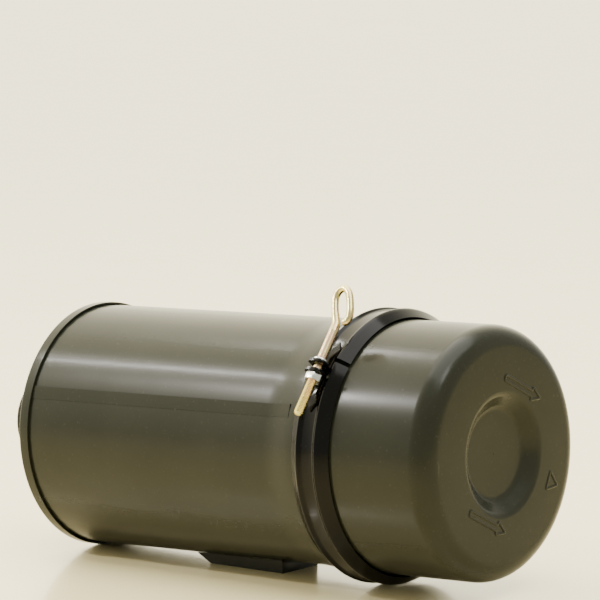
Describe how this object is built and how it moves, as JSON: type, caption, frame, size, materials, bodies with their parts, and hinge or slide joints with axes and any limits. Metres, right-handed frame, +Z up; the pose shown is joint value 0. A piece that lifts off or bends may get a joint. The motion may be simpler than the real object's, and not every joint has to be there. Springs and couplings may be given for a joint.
{
  "type": "engine air cleaner",
  "caption": "Round sheet-steel engine air cleaner lying on its side, with a clamped dust cup, thumb bolt, side inlet, end outlet and foot.",
  "frame": {"origin": "middle of the flat underside of the mounting foot", "axes": "+X along the canister from the outlet end to the dust cup, +Y to the inlet side, +Z up from the foot to the canister"},
  "size_m": [0.5095, 0.2768, 0.2584],
  "materials": {
    "green_paint": "satin",
    "black_paint": "gloss",
    "yellow_zinc": "satin",
    "bright_zinc": "satin",
    "bare_steel": "satin",
    "seal_rubber": "matte",
    "filter_paper": "matte",
    "vane_plastic": "matte"
  },
  "bodies": {
    "canister": {"body_shell": "green_paint", "rear_cap": "green_paint", "outlet_tube": "green_paint", "inlet_tube": "green_paint", "mounting_foot": "green_paint", "centre_yoke": "bare_steel", "centre_rod": "bright_zinc"},
    "element": {"element_gasket": "seal_rubber", "element_cap_open": "bare_steel", "element_cap_closed": "bare_steel", "outer_liner": "bare_steel", "inner_liner": "bare_steel", "pleated_media": "filter_paper", "vane_ring": "vane_plastic"},
    "nut_washer": {"seal_washer": "seal_rubber"},
    "element_nut": {"wing_nut": "bright_zinc"},
    "cup": {"dust_cup": "green_paint", "cup_gasket": "seal_rubber", "dust_baffle": "green_paint"},
    "upper_half": {"clamp_band_upper": "black_paint", "upper_lug": "black_paint", "hinge_leaf_upper": "black_paint", "hinge_pin": "bright_zinc"},
    "lower_half": {"clamp_band_lower": "black_paint", "lower_lug": "black_paint", "hinge_leaf_lower": "black_paint", "clamp_nut": "bright_zinc"},
    "bolt": {"thumb_bolt": "yellow_zinc"}
  },
  "joints": [
    {"name": "cup_off", "type": "slide", "parent": "canister", "child": "cup", "axis": [1, 0, 0], "range_m": [0, 0.62]},
    {"name": "element_out", "type": "slide", "parent": "canister", "child": "element", "axis": [1, 0, 0], "range_m": [0, 0.31]},
    {"name": "nut_travel", "type": "slide", "parent": "element", "child": "nut_washer", "axis": [1, 0, 0], "range_m": [0, 0.004]},
    {"name": "nut_turn", "type": "hinge", "parent": "nut_washer", "child": "element_nut", "pos_m": [0.1185, 0, 0.1166], "axis": [1, 0, 0], "range_deg": [0, 1080]},
    {"name": "clamp_open_upper", "type": "hinge", "parent": "cup", "child": "upper_half", "pos_m": [0.139, 0.09505, 0.03963], "axis": [-1, 0, 0], "range_deg": [0, 0.75]},
    {"name": "clamp_open_lower", "type": "hinge", "parent": "cup", "child": "lower_half", "pos_m": [0.139, 0.09505, 0.03963], "axis": [1, 0, 0], "range_deg": [0, 0.75]},
    {"name": "bolt_turn", "type": "hinge", "parent": "upper_half", "child": "bolt", "pos_m": [0.139, -0.09505, 0.19357], "axis": [0, 0.6293, 0.7771], "range_deg": [0, 1800]}
  ],
  "couplings": [
    {"joint": "element_out", "follows": "cup_off", "ratio": 0.5},
    {"joint": "nut_travel", "follows": "nut_turn", "m_per_rad": 0.00019894},
    {"joint": "clamp_open_upper", "follows": "bolt_turn", "ratio": 0.00040667},
    {"joint": "clamp_open_lower", "follows": "bolt_turn", "ratio": 0.00040667}
  ]
}
